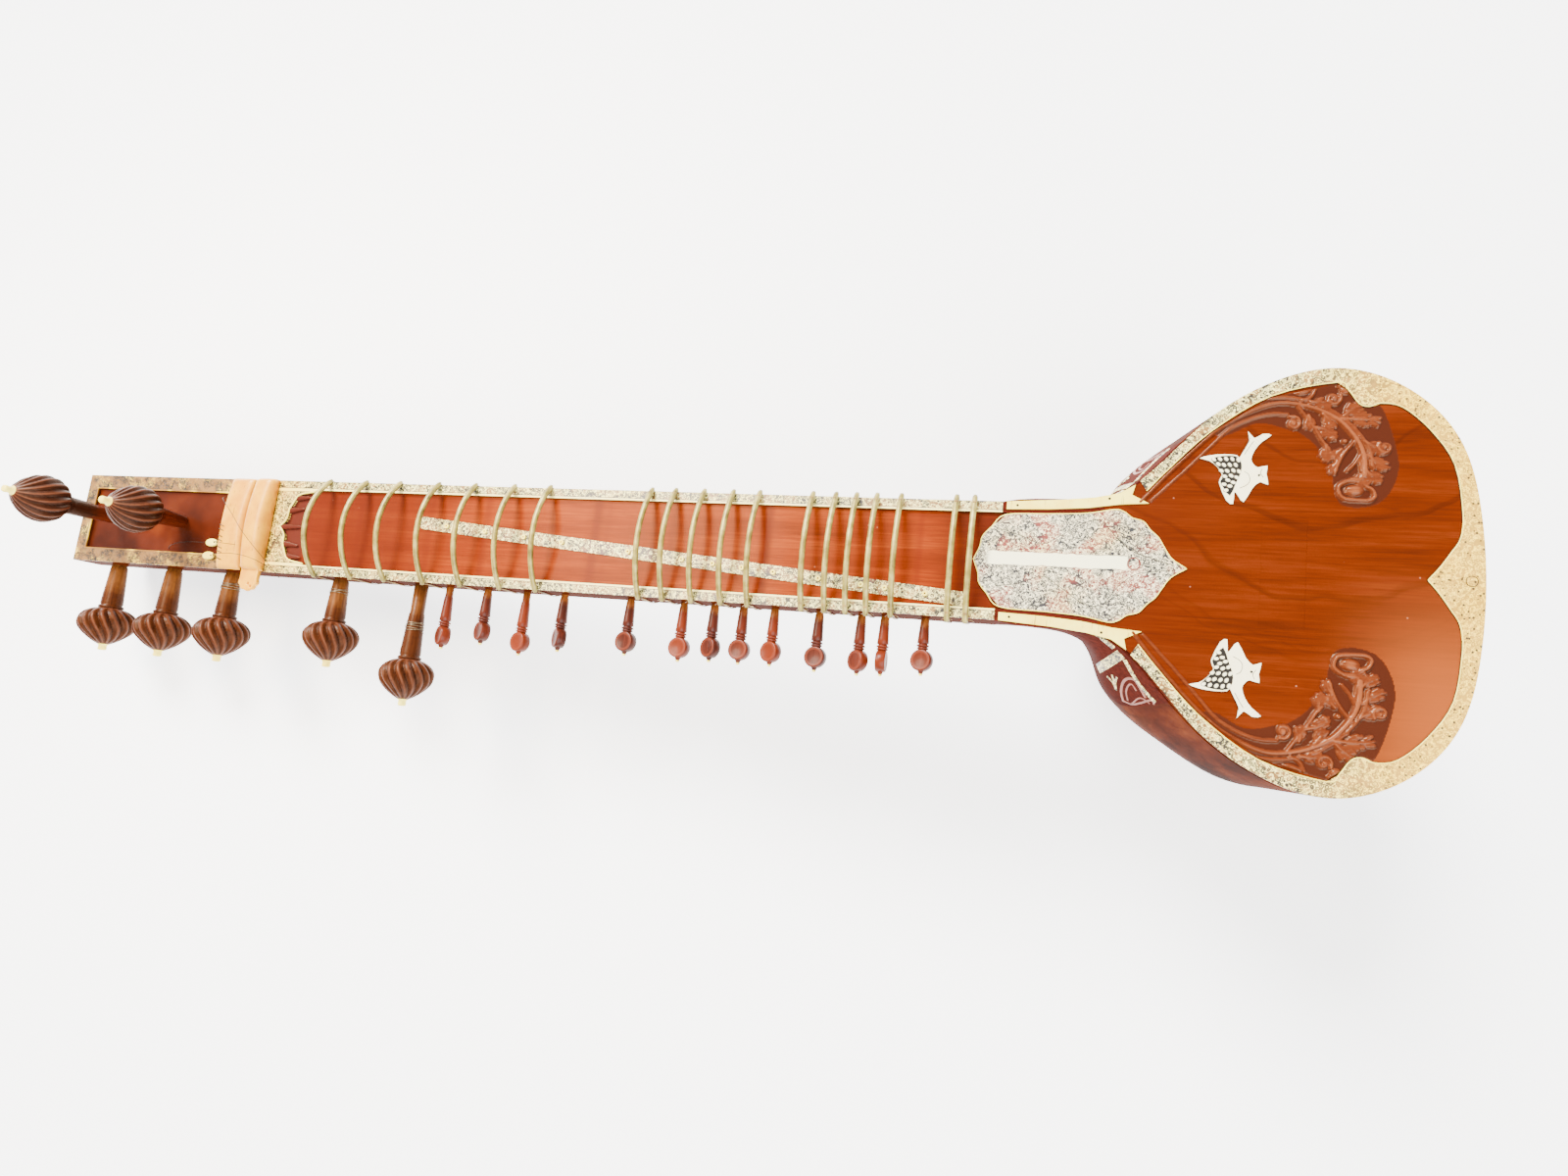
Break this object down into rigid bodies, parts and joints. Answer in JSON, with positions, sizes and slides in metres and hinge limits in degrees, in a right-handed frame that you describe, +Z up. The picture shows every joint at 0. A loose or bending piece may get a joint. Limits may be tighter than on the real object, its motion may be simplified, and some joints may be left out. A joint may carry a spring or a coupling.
{
  "type": "sitar",
  "caption": "Long-necked lute lying on its back: gourd bowl, hollow neck with arched movable frets, fluted tuning pegs, sympathetic pegs and engraved inlays, unstrung.",
  "frame": {"origin": "on the floor under the middle of the instrument, lying on the back of its bowl and head", "axes": "+X from the head to the bowl's tail, +Y to the side away from the pegs, +Z up; the face looks up, pitched 9.3 degrees down towards the head"},
  "size_m": [1.233, 0.3071, 0.2552],
  "materials": {
    "red_wood": "varnished",
    "brown_wood": "varnished",
    "peg_wood": "lacquered",
    "ivory_sheet": "engraved and inked",
    "bone": "polished",
    "fret_brass": "worn",
    "steel_wire": "tarnished"
  },
  "bodies": {
    "instrument": {"neck_shell": "brown_wood", "fingerboard": "red_wood", "head_panel": "red_wood", "neck_bindings": "ivory_sheet", "nut": "bone", "string_guide": "bone", "cowl": "brown_wood", "gourd": "brown_wood", "soundboard": "red_wood", "face_rim": "ivory_sheet", "joint_plate": "ivory_sheet", "neck_edge_strips": "bone", "bird_inlays": "ivory_sheet", "face_carvings": "red_wood", "sympathetic_strip": "ivory_sheet", "sympathetic_eyelets": "bone", "tailpiece": "bone", "loose_string_1": "steel_wire", "loose_string_2": "steel_wire", "loose_string_3": "steel_wire", "tuning_beads": "bone"},
    "fret_01": {"fret_01": "fret_brass"},
    "fret_02": {"fret_02": "fret_brass"},
    "fret_03": {"fret_03": "fret_brass"},
    "fret_04": {"fret_04": "fret_brass"},
    "fret_05": {"fret_05": "fret_brass"},
    "fret_06": {"fret_06": "fret_brass"},
    "fret_07": {"fret_07": "fret_brass"},
    "fret_08": {"fret_08": "fret_brass"},
    "fret_09": {"fret_09": "fret_brass"},
    "fret_10": {"fret_10": "fret_brass"},
    "fret_11": {"fret_11": "fret_brass"},
    "fret_12": {"fret_12": "fret_brass"},
    "fret_13": {"fret_13": "fret_brass"},
    "fret_14": {"fret_14": "fret_brass"},
    "fret_15": {"fret_15": "fret_brass"},
    "fret_16": {"fret_16": "fret_brass"},
    "fret_17": {"fret_17": "fret_brass"},
    "fret_18": {"fret_18": "fret_brass"},
    "fret_19": {"fret_19": "fret_brass"},
    "side_peg_1": {"side_peg_1": "peg_wood"},
    "side_peg_2": {"side_peg_2": "peg_wood"},
    "side_peg_3": {"side_peg_3": "peg_wood"},
    "side_peg_4": {"side_peg_4": "peg_wood"},
    "side_peg_5": {"side_peg_5": "peg_wood"},
    "front_peg_1": {"front_peg_1": "peg_wood"},
    "front_peg_2": {"front_peg_2": "peg_wood"},
    "sympathetic_peg_01": {"sympathetic_peg_01": "peg_wood"},
    "sympathetic_peg_02": {"sympathetic_peg_02": "peg_wood"},
    "sympathetic_peg_03": {"sympathetic_peg_03": "peg_wood"},
    "sympathetic_peg_04": {"sympathetic_peg_04": "peg_wood"},
    "sympathetic_peg_05": {"sympathetic_peg_05": "peg_wood"},
    "sympathetic_peg_06": {"sympathetic_peg_06": "peg_wood"},
    "sympathetic_peg_07": {"sympathetic_peg_07": "peg_wood"},
    "sympathetic_peg_08": {"sympathetic_peg_08": "peg_wood"},
    "sympathetic_peg_09": {"sympathetic_peg_09": "peg_wood"},
    "sympathetic_peg_10": {"sympathetic_peg_10": "peg_wood"},
    "sympathetic_peg_11": {"sympathetic_peg_11": "peg_wood"},
    "sympathetic_peg_12": {"sympathetic_peg_12": "peg_wood"},
    "sympathetic_peg_13": {"sympathetic_peg_13": "peg_wood"}
  },
  "joints": [
    {"name": "fret_01_slide", "type": "slide", "parent": "instrument", "child": "fret_01", "axis": [0.9869, 0, 0.1616], "range_m": [-0.008, 0.0045]},
    {"name": "fret_02_slide", "type": "slide", "parent": "instrument", "child": "fret_02", "axis": [0.9869, 0, 0.1616], "range_m": [-0.01, 0.01]},
    {"name": "fret_03_slide", "type": "slide", "parent": "instrument", "child": "fret_03", "axis": [0.9869, 0, 0.1616], "range_m": [-0.01, 0.01]},
    {"name": "fret_04_slide", "type": "slide", "parent": "instrument", "child": "fret_04", "axis": [0.9869, 0, 0.1616], "range_m": [-0.009, 0.0085]},
    {"name": "fret_05_slide", "type": "slide", "parent": "instrument", "child": "fret_05", "axis": [0.9869, 0, 0.1616], "range_m": [-0.01, 0.01]},
    {"name": "fret_06_slide", "type": "slide", "parent": "instrument", "child": "fret_06", "axis": [0.9869, 0, 0.1616], "range_m": [-0.01, 0.01]},
    {"name": "fret_07_slide", "type": "slide", "parent": "instrument", "child": "fret_07", "axis": [0.9869, 0, 0.1616], "range_m": [-0.01, 0.01]},
    {"name": "fret_08_slide", "type": "slide", "parent": "instrument", "child": "fret_08", "axis": [0.9869, 0, 0.1616], "range_m": [-0.01, 0.008]},
    {"name": "fret_09_slide", "type": "slide", "parent": "instrument", "child": "fret_09", "axis": [0.9869, 0, 0.1616], "range_m": [-0.008, 0.007]},
    {"name": "fret_10_slide", "type": "slide", "parent": "instrument", "child": "fret_10", "axis": [0.9869, 0, 0.1616], "range_m": [-0.0085, 0.009]},
    {"name": "fret_11_slide", "type": "slide", "parent": "instrument", "child": "fret_11", "axis": [0.9869, 0, 0.1616], "range_m": [-0.0065, 0.009]},
    {"name": "fret_12_slide", "type": "slide", "parent": "instrument", "child": "fret_12", "axis": [0.9869, 0, 0.1616], "range_m": [-0.004, 0.01]},
    {"name": "fret_13_slide", "type": "slide", "parent": "instrument", "child": "fret_13", "axis": [0.9869, 0, 0.1616], "range_m": [-0.01, 0.006]},
    {"name": "fret_14_slide", "type": "slide", "parent": "instrument", "child": "fret_14", "axis": [0.9869, 0, 0.1616], "range_m": [-0.003, 0.006]},
    {"name": "fret_15_slide", "type": "slide", "parent": "instrument", "child": "fret_15", "axis": [0.9869, 0, 0.1616], "range_m": [-0.006, 0.005]},
    {"name": "fret_16_slide", "type": "slide", "parent": "instrument", "child": "fret_16", "axis": [0.9869, 0, 0.1616], "range_m": [-0.0015, 0.007]},
    {"name": "fret_17_slide", "type": "slide", "parent": "instrument", "child": "fret_17", "axis": [0.9869, 0, 0.1616], "range_m": [-0.002, 0.01]},
    {"name": "fret_18_slide", "type": "slide", "parent": "instrument", "child": "fret_18", "axis": [0.9869, 0, 0.1616], "range_m": [-0.01, 0.0045]},
    {"name": "fret_19_slide", "type": "slide", "parent": "instrument", "child": "fret_19", "axis": [0.9869, 0, 0.1616], "range_m": [-0.0045, 0.008]},
    {"name": "side_peg_1_turn", "type": "hinge", "parent": "instrument", "child": "side_peg_1", "pos_m": [-0.58023, -0.0434, 0.04596], "axis": [0, -1, 0], "continuous": true},
    {"name": "side_peg_2_turn", "type": "hinge", "parent": "instrument", "child": "side_peg_2", "pos_m": [-0.51214, -0.04361, 0.05711], "axis": [0, -1, 0], "continuous": true},
    {"name": "side_peg_3_turn", "type": "hinge", "parent": "instrument", "child": "side_peg_3", "pos_m": [-0.44207, -0.04382, 0.06858], "axis": [0, -1, 0], "continuous": true},
    {"name": "side_peg_4_turn", "type": "hinge", "parent": "instrument", "child": "side_peg_4", "pos_m": [-0.3197, -0.04419, 0.08862], "axis": [0, -1, 0], "continuous": true},
    {"name": "side_peg_5_turn", "type": "hinge", "parent": "instrument", "child": "side_peg_5", "pos_m": [-0.23385, -0.04446, 0.10268], "axis": [0, -1, 0], "continuous": true},
    {"name": "front_peg_1_turn", "type": "hinge", "parent": "instrument", "child": "front_peg_1", "pos_m": [-0.57073, 0, 0.0622], "axis": [-0.1616, 0, 0.9869], "continuous": true},
    {"name": "front_peg_2_turn", "type": "hinge", "parent": "instrument", "child": "front_peg_2", "pos_m": [-0.49573, 0, 0.07449], "axis": [-0.1616, 0, 0.9869], "continuous": true},
    {"name": "sympathetic_peg_01_turn", "type": "hinge", "parent": "instrument", "child": "sympathetic_peg_01", "pos_m": [-0.20424, -0.04455, 0.10753], "axis": [0, -1, 0], "continuous": true},
    {"name": "sympathetic_peg_02_turn", "type": "hinge", "parent": "instrument", "child": "sympathetic_peg_02", "pos_m": [-0.16575, -0.04466, 0.11383], "axis": [0, -1, 0], "continuous": true},
    {"name": "sympathetic_peg_03_turn", "type": "hinge", "parent": "instrument", "child": "sympathetic_peg_03", "pos_m": [-0.12727, -0.04478, 0.12013], "axis": [0, -1, 0], "continuous": true},
    {"name": "sympathetic_peg_04_turn", "type": "hinge", "parent": "instrument", "child": "sympathetic_peg_04", "pos_m": [-0.09075, -0.04489, 0.12611], "axis": [0, -1, 0], "continuous": true},
    {"name": "sympathetic_peg_05_turn", "type": "hinge", "parent": "instrument", "child": "sympathetic_peg_05", "pos_m": [-0.02858, -0.04508, 0.13629], "axis": [0, -1, 0], "continuous": true},
    {"name": "sympathetic_peg_06_turn", "type": "hinge", "parent": "instrument", "child": "sympathetic_peg_06", "pos_m": [0.01978, -0.04523, 0.14421], "axis": [0, -1, 0], "continuous": true},
    {"name": "sympathetic_peg_07_turn", "type": "hinge", "parent": "instrument", "child": "sympathetic_peg_07", "pos_m": [0.04691, -0.04531, 0.14866], "axis": [0, -1, 0], "continuous": true},
    {"name": "sympathetic_peg_08_turn", "type": "hinge", "parent": "instrument", "child": "sympathetic_peg_08", "pos_m": [0.07208, -0.04539, 0.15278], "axis": [0, -1, 0], "continuous": true},
    {"name": "sympathetic_peg_09_turn", "type": "hinge", "parent": "instrument", "child": "sympathetic_peg_09", "pos_m": [0.09872, -0.04547, 0.15714], "axis": [0, -1, 0], "continuous": true},
    {"name": "sympathetic_peg_10_turn", "type": "hinge", "parent": "instrument", "child": "sympathetic_peg_10", "pos_m": [0.13623, -0.04558, 0.16328], "axis": [0, -1, 0], "continuous": true},
    {"name": "sympathetic_peg_11_turn", "type": "hinge", "parent": "instrument", "child": "sympathetic_peg_11", "pos_m": [0.17077, -0.04569, 0.16894], "axis": [0, -1, 0], "continuous": true},
    {"name": "sympathetic_peg_12_turn", "type": "hinge", "parent": "instrument", "child": "sympathetic_peg_12", "pos_m": [0.18951, -0.04574, 0.17201], "axis": [0, -1, 0], "continuous": true},
    {"name": "sympathetic_peg_13_turn", "type": "hinge", "parent": "instrument", "child": "sympathetic_peg_13", "pos_m": [0.22109, -0.04584, 0.17718], "axis": [0, -1, 0], "continuous": true}
  ]
}
